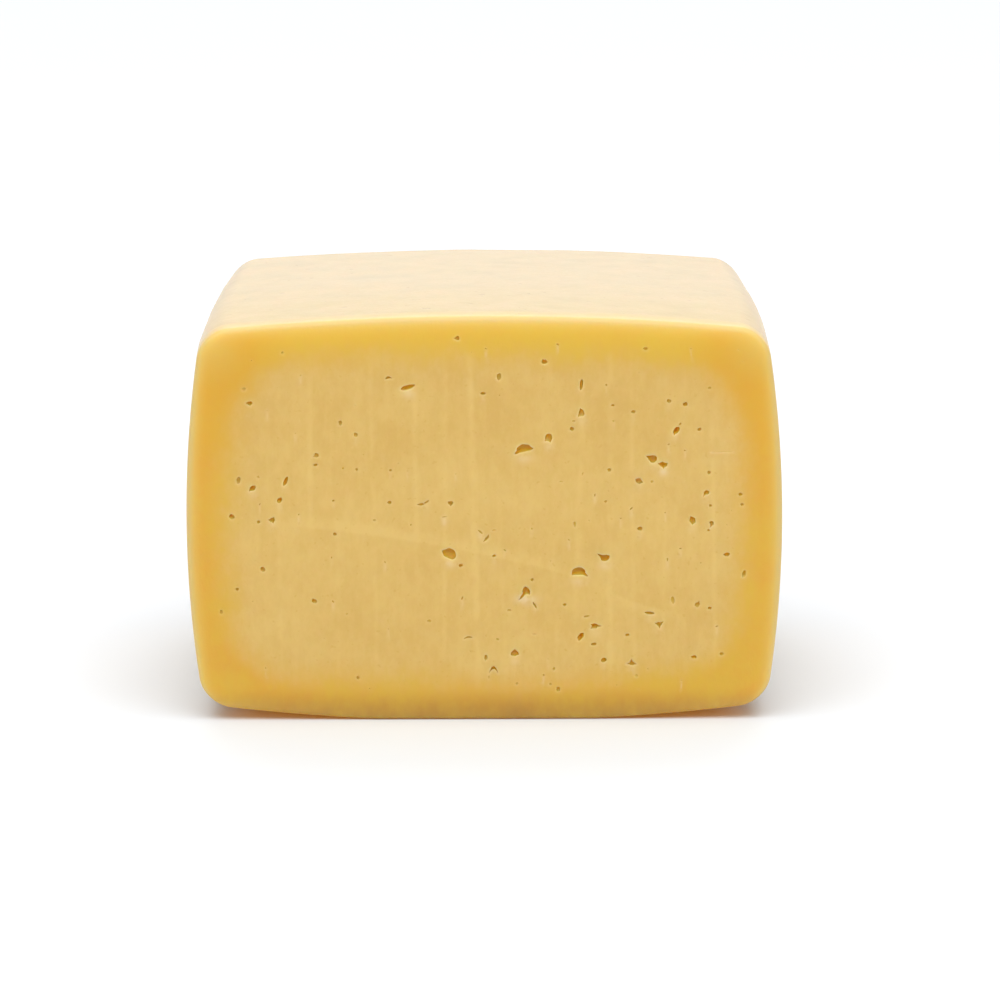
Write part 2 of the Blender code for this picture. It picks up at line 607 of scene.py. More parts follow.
@dataclass(frozen=True)
class Eye:
    """One eye that the knife opened, in mm and degrees.

    Each tip is a pointed corner: the bearing it points along and how far it reaches past the
    round of the mouth. The flat side is the lower one before the eye is tilted.
    """

    across: float
    up: float
    width: float
    height: float
    tilt: float = 0.0
    opening: Opening = Opening.CHINK
    flat: float = 0.0
    tips: tuple[tuple[float, float], ...] = ()
    bend: float = 0.0
    depth: float = 0.75
    smear: float = 0.0

    def mouth(self, bearing: float) -> tuple[float, float]:
        """A point of the mouth's outline.

        Args:
            bearing: the direction in the eye's own frame, in radians.

        Returns:
            The point's offset across and up, in mm, after the tilt.
        """
        seed = self.across * RAGGED.seed_across + self.up * RAGGED.seed_up
        turning = Vector((math.cos(bearing), math.sin(bearing), 0.0))
        small = max(0.0, 1 - max(self.width, self.height) / RAGGED.small_under)
        coarse = noise.noise(RAGGED.coarse_waves * turning + Vector((0, 0, seed)))
        fine = noise.noise(RAGGED.fine_waves * turning + Vector((0, 0, seed + RAGGED.fine_shift)))
        uneven = 1 + (RAGGED.coarse + RAGGED.coarse_small * small) * coarse
        uneven += RAGGED.fine_small * small * fine
        x = self.width / 2 * math.cos(bearing) * uneven
        z = self.height / 2 * math.sin(bearing) * uneven
        z = max(z, -(1 - self.flat) * self.height / 2)
        for direction, reach in self.tips:
            away = abs((math.degrees(bearing) - direction + 180) % 360 - 180)
            grow = reach * max(0.0, 1 - away / RAGGED.tip_spread) ** RAGGED.tip_taper
            x += grow * math.cos(bearing)
            z += grow * math.sin(bearing)
        z -= self.bend * (2 * x / self.width) ** 2
        turn = math.radians(self.tilt)
        return x * math.cos(turn) - z * math.sin(turn), x * math.sin(turn) + z * math.cos(turn)

    @property
    def reach(self) -> float:
        """The furthest that the mouth gets from its middle, in mm."""
        return max(self.width, self.height) / 2 + max([reach for _, reach in self.tips], default=0.0)


BUBBLE, CHINK, CRACK, PIN = Opening

EYES: tuple[Eye, ...] = (
    Eye(10.0, 68.9, 3.6, 2.7, 12, BUBBLE, 0.5, ((197, 1.1), (-8, 0.5)), smear=0.5),
    Eye(16.1, 71.8, 1.8, 2.4, -12, CHINK, 0.2, ((232, 0.4), (-50, 0.35)), smear=0.5),
    Eye(24.4, 78.0, 1.5, 2.0, 0, CHINK, 0.2, ((112, 0.35), (215, 0.55)), smear=0.3),
    Eye(21.9, 74.0, 1.2, 1.1, 30, PIN),
    Eye(22.3, 76.0, 0.9, 0.7, 0, PIN, depth=0.35),
    Eye(42.1, 66.4, 2.2, 2.1, -20, BUBBLE, 0.0, ((178, 0.85),), smear=0.3),
    Eye(44.7, 64.9, 2.0, 1.5, -8, CHINK, 0.0, ((172, 0.55), (35, 0.45), (-80, 0.5)), smear=0.9),
    Eye(38.6, 60.8, 1.6, 1.5, -35, BUBBLE, 0.0, ((190, 0.3), (10, 0.45)), smear=0.3),
    Eye(-8.7, 42.3, 3.5, 2.8, -24, BUBBLE, 0.22, ((180, 0.3), (112, 0.2)), smear=0.6),
    Eye(30.1, 41.3, 2.4, 1.9, 186, BUBBLE, 0.25, ((-36, 1.0), (200, 0.25)), smear=0.6),
    Eye(23.6, 37.5, 3.4, 2.9, 0, BUBBLE, 0.5, ((-24, 1.05), (205, 0.2)), smear=0.5),
    Eye(10.4, 32.7, 1.9, 2.1, 8, BUBBLE, 0.25, ((222, 2.0), (88, 0.3), (-50, 0.35)), smear=1.0),
    Eye(27.6, 23.8, 1.7, 1.4, 0, CHINK, 0.1, ((150, 0.6), (0, 0.9), (215, 0.6)), smear=0.3),
    Eye(24.0, 21.1, 2.3, 1.3, 55, CHINK),
    Eye(43.7, 24.2, 1.3, 1.2, 0, CHINK, 0.0, ((162, 0.9), (35, 0.9), (-84, 0.85)), smear=0.3),
    Eye(-18.9, 84.7, 3.9, 1.25, 17, CRACK, smear=0.6),
    Eye(24.3, 85.2, 2.9, 0.9, 84, CRACK, smear=0.3),
    Eye(48.0, 73.6, 2.2, 1.4, 55, CHINK, 0.0, ((190, 0.5),), smear=0.3),
    Eye(48.9, 75.2, 0.8, 0.5, 30, PIN),
    Eye(7.5, 16.9, 1.9, 1.6, 15, BUBBLE, 0.0, ((190, 0.25), (75, 0.3), (-40, 0.4)), smear=0.5),
    Eye(-57.8, 59.2, 1.9, 1.3, 36, CHINK, 0.0, ((185, 0.5),), smear=0.4),
    Eye(-49.6, 60.9, 2.6, 1.0, 68, CRACK, smear=0.3),
    Eye(52.0, 50.7, 1.7, 1.9, 20, CHINK, 0.0, ((95, 0.35), (250, 0.3)), smear=0.3),
    Eye(-15.8, 55.0, 1.7, 0.7, 4, CRACK, tips=((180, 0.3),)),
    Eye(-14.4, 55.6, 1.5, 0.6, 32, CRACK, smear=0.3),
    Eye(41.3, 27.1, 2.6, 0.8, -6, CRACK, smear=0.3),
    Eye(-4.2, 21.1, 2.4, 0.5, 8, CRACK, bend=0.35),
    Eye(36.8, 14.2, 1.5, 1.2, 0, CHINK, 0.2, ((186, 0.7), (-6, 0.6), (92, 0.7)), smear=0.3),
    Eye(2.2, 13.2, 2.0, 0.9, 0, CRACK, bend=1.0, tips=((180, 0.2), (0, 0.2))),
    Eye(29.8, 15.1, 1.6, 1.2, 35, CHINK, smear=0.3),
    Eye(12.6, 29.1, 1.7, 0.55, -60, CRACK, smear=0.3),
    Eye(11.9, 35.7, 0.9, 0.9, 0, PIN),
    Eye(6.1, 27.9, 1.1, 0.7, 0, PIN, depth=0.35),
    Eye(-53.0, 51.1, 1.4, 1.3, 0, CHINK, 0.0, ((180, 0.4), (60, 0.45), (-75, 0.4)), smear=0.4),
    Eye(-56.4, 50.6, 1.0, 0.9, 10, CHINK),
    Eye(-51.1, 56.1, 1.7, 1.2, 55, CHINK, smear=0.3),
    Eye(-56.4, 62.0, 0.7, 0.9, 0, PIN, depth=0.5),
    Eye(-61.3, 61.2, 1.0, 2.0, -8, CHINK),
    Eye(-63.1, 52.0, 1.5, 1.5, 0, CHINK, smear=0.2),
    Eye(-42.1, 65.1, 1.1, 0.8, 10, PIN),
    Eye(53.7, 73.8, 1.1, 0.9, 0, PIN),
    Eye(59.4, 68.1, 5.6, 0.22, 1, CRACK, depth=0.3),
    Eye(56.1, 62.8, 0.9, 1.1, -10, PIN),
    Eye(55.5, 57.8, 1.4, 1.2, 0, CHINK, 0.0, ((236, 0.8),), smear=0.3),
    Eye(56.4, 54.5, 0.9, 0.8, 0, PIN),
    Eye(56.8, 49.9, 1.2, 1.3, 30, CHINK, 0.0, ((220, 0.8),)),
    Eye(-6.6, 97.0, 1.2, 1.0, 0, CHINK, 0.0, ((60, 0.4), (180, 0.3))),
    Eye(15.1, 91.0, 1.5, 1.2, 0, CHINK, 0.0, ((120, 0.3),)),
    Eye(-23.8, 87.2, 1.6, 0.7, 12, CRACK, bend=0.3),
    Eye(3.8, 87.3, 1.1, 2.0, -10, CHINK),
    Eye(50.2, 80.2, 1.4, 1.2, 0, CHINK, smear=0.2),
    Eye(-8.4, 55.3, 1.3, 1.1, 0, CHINK, 0.0, ((150, 0.3), (-90, 0.5))),
    Eye(53.3, 29.2, 1.2, 1.5, 0, CHINK, 0.0, ((60, 0.4), (200, 0.4))),
    Eye(47.1, 30.4, 1.0, 2.1, 8, CHINK, depth=0.45),
    Eye(18.4, 7.7, 1.1, 1.3, 20, CHINK),
    Eye(60.6, 42.0, 1.6, 1.1, 5, CHINK, 0.0, ((180, 0.3),)),
    Eye(64.9, 37.0, 1.1, 2.0, -18, CHINK),
    Eye(-55.4, 38.5, 1.2, 1.5, 20, CHINK),
    Eye(-42.6, 30.4, 1.4, 1.2, 0, CHINK, 0.0, ((120, 0.3),)),
    Eye(-58.4, 80.8, 1.5, 1.1, 0, CHINK, 0.0, ((180, 0.3), (-80, 0.3))),
    Eye(0.3, 15.8, 0.9, 1.6, 0, CHINK),
    Eye(1.0, 10.8, 0.4, 0.9, 0, PIN),
    Eye(3.2, 20.5, 1.0, 0.6, -40, PIN, depth=0.5),
    Eye(8.0, 9.1, 0.8, 0.8, 0, PIN, depth=0.4),
    Eye(12.4, 21.8, 1.3, 0.4, 0, PIN, depth=0.4),
    Eye(52.4, 15.8, 1.5, 0.9, 0, CHINK),
    Eye(35.7, 21.5, 1.1, 0.9, 0, PIN),
    Eye(27.3, 19.2, 1.5, 0.8, 8, CHINK),
    Eye(46.1, 81.0, 1.1, 1.1, 0, PIN, smear=0.2),
    Eye(37.2, 78.3, 1.1, 0.9, 0, PIN, smear=0.2),
    Eye(32.1, 80.0, 1.0, 0.6, 0, PIN),
    Eye(-23.7, 55.5, 1.2, 0.9, 0, CHINK),
    Eye(-5.9, 39.3, 1.1, 0.9, 25, PIN),
    Eye(2.4, 41.8, 1.1, 0.8, 30, PIN, smear=0.3),
    Eye(12.2, 29.9, 0.4, 0.4, 0, PIN),
    Eye(56.3, 28.3, 1.1, 0.9, 0, PIN),
    Eye(17.3, 12.9, 0.7, 1.1, 0, PIN),
    Eye(64.0, 57.3, 1.1, 0.9, 0, PIN),
    Eye(64.4, 54.7, 1.0, 0.9, 0, PIN),
    Eye(59.3, 16.6, 1.1, 0.9, 0, PIN),
    Eye(-61.9, 33.5, 1.0, 0.9, 0, PIN),
    Eye(-32.0, 72.7, 1.0, 1.2, 0, CHINK, smear=0.3),
    Eye(-41.8, 67.5, 1.2, 1.2, 0, CHINK, 0.0, ((200, 0.5),)),
    Eye(-37.4, 47.5, 1.1, 1.0, 0, PIN),
    Eye(-31.8, 10.8, 0.9, 1.0, 0, PIN),
    Eye(-13.9, 25.2, 1.1, 0.8, 0, PIN, depth=0.4),
    Eye(31.2, 63.6, 1.0, 1.1, 0, PIN, smear=0.2),
    Eye(38.9, 48.6, 1.3, 1.1, 0, CHINK, 0.0, ((60, 0.3),), smear=0.3),
    Eye(40.3, 94.3, 1.1, 0.9, 0, CHINK),
    Eye(-1.0, 47.9, 1.7, 0.6, -40, CRACK, depth=0.45, smear=0.6),
    Eye(0.6, 46.3, 1.7, 0.8, 50, CRACK, 0.0, ((170, 0.6), (20, 0.4)), depth=0.5),
    Eye(2.4, 48.4, 1.1, 0.5, 15, CRACK, depth=0.4),
    Eye(-10.0, 51.8, 1.3, 0.30, 6, CRACK, smear=0.7),
    Eye(19.2, 60.7, 1.1, 0.35, -8, CRACK, depth=0.5),
    Eye(24.6, 62.7, 0.9, 0.4, 60, CRACK, depth=0.5),
    Eye(22.6, 49.8, 0.7, 1.5, 6, CHINK, depth=0.5),
    Eye(25.5, 26.3, 1.7, 0.6, 10, CRACK, depth=0.5),
    Eye(20.0, 29.3, 1.0, 0.8, 0, PIN),
    Eye(-0.2, 83.1, 1.4, 0.8, 0, CHINK, smear=0.5),
    Eye(30.5, 85.1, 0.6, 0.6, 0, PIN, smear=0.3),
    Eye(-31.8, 63.9, 0.8, 0.8, 0, PIN),
    Eye(-23.4, 63.7, 0.8, 0.7, 0, PIN, smear=0.3),
    Eye(-35.8, 75.7, 1.0, 1.4, 0, CHINK),
    Eye(-18.3, 49.8, 0.6, 0.6, 0, PIN),
    Eye(-27.5, 51.0, 0.9, 0.7, 0, PIN, depth=0.4),
    Eye(11.8, 48.7, 0.6, 0.6, 0, PIN, smear=0.6),
    Eye(30.3, 55.6, 0.7, 0.7, 0, PIN),
    Eye(41.9, 60.6, 0.9, 0.7, 20, PIN, depth=0.4),
    Eye(-59.8, 84.4, 1.1, 1.0, 0, PIN, depth=0.35),
    Eye(-50.2, 93.6, 0.8, 0.7, 0, PIN),
    Eye(-37.7, 56.0, 0.7, 0.6, 0, PIN, smear=0.3),
    Eye(-65.9, 27.7, 0.8, 1.2, 10, PIN),
    Eye(-35.2, 64.2, 0.6, 0.5, 0, PIN),
    Eye(56.2, 84.3, 0.9, 0.7, 0, PIN, depth=0.4),
    Eye(38.0, 11.1, 0.9, 0.9, 0, PIN, depth=0.3),
    Eye(16.4, 9.0, 0.8, 0.7, 0, PIN, depth=0.5),
    Eye(56.0, 48.2, 0.8, 0.6, 30, PIN),
    Eye(-34.5, 27.1, 0.8, 0.6, 30, PIN, depth=0.35),
)


@dataclass(frozen=True)
class Dust:
    """The dust-fine pinholes that lie between the eyes, in mm, with fewer on the left half."""

    count: int = 70
    seed: int = 11
    gap: float = 2.2
    across: float = 66.0
    lowest: float = 6.0
    highest: float = 96.0
    smallest: float = 0.24
    growth: float = 0.42
    narrowest: float = 0.5
    widest: float = 1.5
    left_out: float = 0.45
    smeared_over: float = 0.4
    smear: float = 0.5


@dataclass
class CutFace:
    """The face that the knife made: its eyes, and the marks round them."""

    mould: Mould
    eyes: tuple[Eye, ...] = EYES
    dust: Dust = Dust()
    overhang: float = 0.8 * MM
    lean: float = 0.22
    wall_roughness: float = 0.05
    wall_grain: float = 0.7 * MM
    points_per_mm: float = 18.0
    fewest_points: int = 8
    most_points: int = 44
    shallowness: float = 0.68
    flattest: float = 1.6
    deepest: float = 1.25 * MM
    lip_reach: float = 0.38
    lip_height: float = 0.09 * MM
    lip_above: float = 0.35
    lip_full_at: float = 1.6
    smear_length: float = 5.0
    smear_width: float = 0.85
    smear_reach: float = 1.2
    smear_drop: float = 1.0
    mouth_points: int = 48
    refine_margins: tuple[float, ...] = (2.6, 1.5)
    pocket_full: float = 0.28 * MM
    deep_start: float = 0.38 * MM

    @property
    def front(self) -> float:
        """The cut face's Y."""
        return -self.mould.length / 2

    def __post_init__(self) -> None:
        """Scatters the dust-fine pinholes between the eyes."""
        self.eyes = self.eyes + tuple(self.scattered())

    def scattered(self) -> list[Eye]:
        """Places the dust-fine pinholes at random, but the same on every run.

        Returns:
            The pinholes, each clear of every other eye.
        """
        dust = self.dust
        dice = random.Random(dust.seed)
        found: list[Eye] = []
        while len(found) < dust.count:
            across = dice.uniform(-dust.across, dust.across)
            up = dice.uniform(dust.lowest, dust.highest)
            size = dust.smallest + dust.growth * dice.random() ** 2
            shape = dice.uniform(dust.narrowest, dust.widest)
            tilt = dice.uniform(-90.0, 90.0)
            if across < 0 and dice.random() < dust.left_out:
                continue
            taken = (*self.eyes, *found)
            if all(math.hypot(e.across - across, e.up - up) > e.reach + dust.gap for e in taken):
                smear = dust.smear if size > dust.smeared_over else 0.0
                found.append(Eye(across, up, size * shape, size / shape, tilt, PIN, smear=smear))
        return found

    def cutter(self, bm: Solid, eye: Eye) -> None:
        """Adds the closed form that cuts one eye: its mouth, drawn back into the cheese ring by ring.

        Args:
            bm: the mesh that it is added to.
            eye: the eye.
        """
        points = max(self.fewest_points, min(self.most_points, round(eye.reach * self.points_per_mm)))
        verts = bmesh.ops.create_circle(bm, cap_ends=True, segments=points, radius=1.0)["verts"]
        surface = self.front + self.mould.roll_back(eye.across * MM, eye.up * MM)
        centre = Vector((eye.across * MM, surface - self.overhang, eye.up * MM))
        for vert in verts:
            across, up = eye.mouth(math.atan2(vert.co.y, vert.co.x))
            vert.co = centre + Vector((across, 0, up)) * MM
        face = verts[0].link_faces[0]
        span = min(eye.width, self.flattest * eye.height) * MM
        depth = min(self.deepest, self.shallowness * eye.depth * span)
        lean = self.lean * eye.height * MM
        last = 1.0
        for share, scale in ((0.0, 1.0), *eye.opening.value):
            made = bmesh.ops.extrude_face_region(bm, geom=[face])["geom"]
            if share > 0:
                bmesh.ops.delete(bm, geom=[face], context="FACES_ONLY")
            face = next(item for item in made if isinstance(item, bmesh.types.BMFace))
            goal = Vector((centre.x, surface + share * depth, eye.up * MM + share * lean))
            for vert in face.verts:
                rough = self.wall_roughness * noise.noise(vert.co / self.wall_grain) * (share > 0)
                vert.co = goal + (vert.co - centre) * (scale / last * (1 + rough))
                vert.co.y = goal.y
            centre, last = goal, scale

    def knife(self) -> bpy.types.Object:
        """One object that holds the cutters of all the eyes.

        Returns:
            The cutter object.
        """
        bm = bmesh.new()
        for eye in self.eyes:
            self.cutter(bm, eye)
        bmesh.ops.recalc_face_normals(bm, faces=bm.faces)
        return new_object("eye_cutters", bm)

    def refine(self, bm: Solid) -> None:
        """Halves the grid of the cut face twice round each eye, so that its lip can be shaped.

        Args:
            bm: the block's mesh.
        """
        for margin in self.refine_margins:
            faces = set()
            for face in bm.faces:
                middle = face.calc_center_median()
                if middle.y > self.front + SURFACE_SLACK:
                    continue
                across, up = middle.x / MM, middle.z / MM
                if any(math.hypot(e.across - across, e.up - up) < e.reach + margin for e in self.eyes):
                    faces.add(face)
            edges = {edge for face in faces for edge in face.edges}
            bmesh.ops.subdivide_edges(bm, edges=list(edges), cuts=1, use_grid_fill=True)
        ragged = [face for face in bm.faces if len(face.verts) > 4 and face.normal.y < FACING_FRONT]
        bmesh.ops.triangulate(bm, faces=ragged)

    def marks(self, across: np.ndarray, up: np.ndarray) -> tuple[np.ndarray, np.ndarray]:
        """How strongly each point of the cut face belongs to an eye's lip, which is raised and painted
        paler as a highlight, and to its smear.

        Args:
            across: the points' X, in mm.
            up: their Z, in mm.

        Returns:
            The lip and the smear of each point, from 0 to 1.
        """
        lip_and_highlight = np.zeros(len(across))
        smear = np.zeros(len(across))
        for eye in self.eyes:
            reach = eye.reach + self.smear_length
            near = np.flatnonzero((np.abs(across - eye.across) < reach) & (np.abs(up - eye.up) < reach))
            x, z = across[near] - eye.across, up[near] - eye.up
            bearings = [math.tau * i / self.mouth_points for i in range(self.mouth_points)]
            mouth = np.array([eye.mouth(bearing) for bearing in bearings])
            away = np.hypot(x[:, None] - mouth[None, :, 0], z[:, None] - mouth[None, :, 1]).min(axis=1)
            # the lower side counts most, for the raised lip and for its painted highlight
            below = self.lip_above + (1 - self.lip_above) * np.clip(0.5 - z / eye.height, 0, 1)
            strength = min(1.0, eye.reach / self.lip_full_at) * below
            lip_and_highlight[near] = np.maximum(lip_and_highlight[near], strength * np.exp(-((away / self.lip_reach) ** 2)))
            drop = z + eye.height / 2 + self.smear_drop
            spread = (x / (eye.reach * self.smear_width)) ** 2 + (drop / self.smear_reach) ** 2
            smear[near] = np.maximum(smear[near], eye.smear * np.exp(-spread))
        return lip_and_highlight, smear


def new_object(name: str, bm: Solid) -> bpy.types.Object:
    """Turns a finished bmesh into an object of the scene.

    Args:
        name: the object's name.
        bm: its mesh, which is freed.

    Returns:
        The object, at the origin.
    """
    mesh = bpy.data.meshes.new(name)
    bm.to_mesh(mesh)
    bm.free()
    made = bpy.data.objects.new(name, mesh)
    bpy.context.scene.collection.objects.link(made)
    return made


@dataclass
class HalfLoaf:
    """The block of cheese: moulded, weathered, settled, cut and dressed."""

    mould: Mould
    face: CutFace
    finish: CheeseFinish
    cell: float = 1.6 * MM
    arc_steps: int = 5
    rim_bevel: float = 1.0 * MM
    rim_segments: int = 4
    roll_fade: float = 9.0 * MM
    waves: tuple[tuple[float, float], ...] = (
        (38 * MM, 0.22 * MM),
        (13 * MM, 0.09 * MM),
        (4 * MM, 0.025 * MM),
    )
    calm: float = 7.0 * MM
    smooth_under: float = math.radians(42)
    # where the rind faces up enough to take the painted shade of its top
    top_shade_from: float = 0.35
    top_shade_span: float = 0.5
    under_from: float = 0.8
    under_span: float = 0.19

    def lines(self, half: float, radius: float) -> list[float]:
        """Stations of the grid lines from -half to half, evenly turned round the rounded edges.

        Args:
            half: half of the side.
            radius: the radius of its rounded edges.

        Returns:
            The stations, in order.
        """
        flat = half - radius
        cells = 2 * round(flat / self.cell)
        middle = [flat * (2 * i / cells - 1) for i in range(cells + 1)]
        turn = math.radians(45) / self.arc_steps
        arc = [flat + radius * math.tan(turn * i) for i in range(1, self.arc_steps + 1)]
        return [-station for station in reversed(arc)] + middle + arc

    def blank(self) -> Solid:
        """A straight box in a fine grid, with Y from the cut and Z from mid-height.

        Returns:
            The box's mesh.
        """
        mould = self.mould
        along = [station + mould.length / 2 for station in self.lines(mould.length / 2, mould.end_radius)]
        lines = (
            self.lines(mould.half_width, mould.edge_radius),
            [0.0] + [station for station in along if station > mould.end_radius],
            self.lines(mould.half_height, mould.edge_radius),
        )
        bm = bmesh.new()
        bmesh.ops.create_cube(bm, size=2.0)
        for axis in (0, 2, 1):
            parallel = [e for e in bm.edges if abs(e.verts[0].co[axis] - e.verts[1].co[axis]) > 0.5]
            cuts = len(lines[axis]) - 2
            bmesh.ops.subdivide_edges(bm, edges=parallel, cuts=cuts, use_grid_fill=True)
        for vert in bm.verts:
            steps = [round((vert.co[axis] + 1) / 2 * (len(lines[axis]) - 1)) for axis in range(3)]
            vert.co = Vector([lines[axis][steps[axis]] for axis in range(3)])
        return bm

    def weather(self, bm: Solid) -> None:
        """Gives the rind the low waves and dents of a turned and handled cheese.

        Args:
            bm: the moulded block, whose cut rim is left as it is.
        """
        bm.normal_update()
        for vert in bm.verts:
            share = min(1.0, vert.co.y / self.calm)
            fade = share * share * (3 - 2 * share)
            move = sum(depth * noise.noise(vert.co / size) for size, depth in self.waves)
            vert.co += vert.normal * (move * fade)

    def rest(self, bm: Solid) -> None:
        """Slices the settled crown off the underside, which leaves the flat patch that it rests on.

        Args:
            bm: the block, at its final height.
        """
        geometry = bm.verts[:] + bm.edges[:] + bm.faces[:]
        bmesh.ops.bisect_plane(bm, geom=geometry, plane_co=(0, 0, 0), plane_no=(0, 0, 1), clear_inner=True)
        footprint = [edge for edge in bm.edges if edge.is_boundary]
        bmesh.ops.edgeloop_fill(bm, edges=footprint)
        bmesh.ops.recalc_face_normals(bm, faces=bm.faces)
        bm.normal_update()

    def soften(self, bm: Solid) -> None:
        """Rounds the edge all round the cut face.

        Args:
            bm: the block.
        """
        front = {face for face in bm.faces if face.normal.y < FACING_FRONT}
        rim = [edge for edge in bm.edges if len(front.intersection(edge.link_faces)) == 1]
        bmesh.ops.bevel(
            bm, geom=rim, offset=self.rim_bevel, segments=self.rim_segments, profile=0.5,
            affect="EDGES", material=-1,
        )

    def roll(self, bm: Solid) -> None:
        """Curls the border of the cut face back, and draws the rind behind it along.

        Args:
            bm: the block.
        """
        places = np.array([vert.co for vert in bm.verts])
        behind = np.clip((places[:, 1] - self.face.front) / self.roll_fade, 0, 1)
        moves = self.mould.roll_back(places[:, 0], places[:, 2]) * (1 - behind) ** 2
        for vert, move in zip(bm.verts, moves):
            vert.co.y += move

    def block(self) -> bpy.types.Object:
        """The block before its eyes are opened.

        Returns:
            The object.
        """
        bm = self.blank()
        for vert in bm.verts:
            vert.co = self.mould.swollen(self.mould.rounded(vert.co))
        self.weather(bm)
        shift = (0, -self.mould.length / 2, self.mould.middle)
        bmesh.ops.translate(bm, vec=shift, verts=bm.verts)
        self.rest(bm)
        self.soften(bm)
        bm.normal_update()
        self.face.refine(bm)
        self.roll(bm)
        return new_object("half_loaf", bm)

    def open_eyes(self, cheese: bpy.types.Object) -> None:
        """Cuts every eye out of the block.

        Args:
            cheese: the block.
        """
        knife = self.face.knife()
        cut = cheese.modifiers.new("eyes", "BOOLEAN")
        cut.operation = "DIFFERENCE"
        cut.solver = "MANIFOLD"
        cut.object = knife
        graph = bpy.context.evaluated_depsgraph_get()
        whole = cheese.data
        cheese.data = bpy.data.meshes.new_from_object(cheese.evaluated_get(graph))
        cheese.modifiers.clear()
        bpy.data.objects.remove(knife)
        bpy.data.meshes.remove(whole)

    def mark(self, mesh: bpy.types.Mesh) -> None:
        """Paints the numbers that the material reads on the mesh, and raises the lips of the eyes.

        Args:
            mesh: the cut block's mesh.
        """
        places = np.empty(len(mesh.vertices) * 3)
        mesh.vertices.foreach_get("co", places)
        places = places.reshape(-1, 3)
        behind = places[:, 1] - self.face.front - self.mould.roll_back(places[:, 0], places[:, 2])
        depth = self.mould.rind_depth(places[:, 0], places[:, 2])
        inside = (depth > POCKET_FLOOR) & (behind < POCKET_DEEPEST)
        flush = np.abs(behind) < SURFACE_SLACK
        lip_and_highlight, smear = np.zeros(len(places)), np.zeros(len(places))
        lip_and_highlight[flush], smear[flush] = self.face.marks(places[flush, 0] / MM, places[flush, 2] / MM)
        places[:, 1] -= lip_and_highlight * self.face.lip_height
        mesh.vertices.foreach_set("co", places.reshape(-1))
        turned = np.empty(len(mesh.vertices) * 3)
        mesh.vertex_normals.foreach_get("vector", turned)
        tilt = turned[2::3]
        outside = np.where(inside | (behind < RIND_START / 2), 0.0, 1.0)
        painted = {
            # where the rind faces up and takes the painted shade of its top
            "top_shade_mask": outside * np.clip((tilt - self.top_shade_from) / self.top_shade_span, 0, 1),
            # where the rind faces down and takes the painted orange glow
            "under": outside * np.clip((-tilt - self.under_from) / self.under_span, 0, 1),
            "rind": np.where(inside, 0.0, np.clip(behind / RIND_START, 0, 1)),
            # where the walls of the eyes take their painted shade
            "pocket_shade": np.where(inside, np.clip(behind / self.face.pocket_full, 0, 1), 0.0),
            "deep": np.clip((behind - self.face.deep_start) / self.face.deep_start, 0, 1),
            "lip_and_highlight": lip_and_highlight,
            "smear": smear,
        }
        for name, values in painted.items():
            mesh.attributes.new(name, "FLOAT", "POINT").data.foreach_set("value", values)
        mesh.update()

    def build(self) -> bpy.types.Object:
        """The finished cheese.

        Returns:
            The object, riding on the frame in place of its plain solid.
        """
        cheese = self.block()
        self.open_eyes(cheese)
        self.mark(cheese.data)
        cheese.data.shade_smooth()
        cheese.data.set_sharp_from_angle(angle=self.smooth_under)
        cheese.data.materials.clear()
        cheese.data.materials.append(CheeseDress(self.finish, self.mould).material())
        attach(cheese, "root")
        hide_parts(NODE)
        return cheese


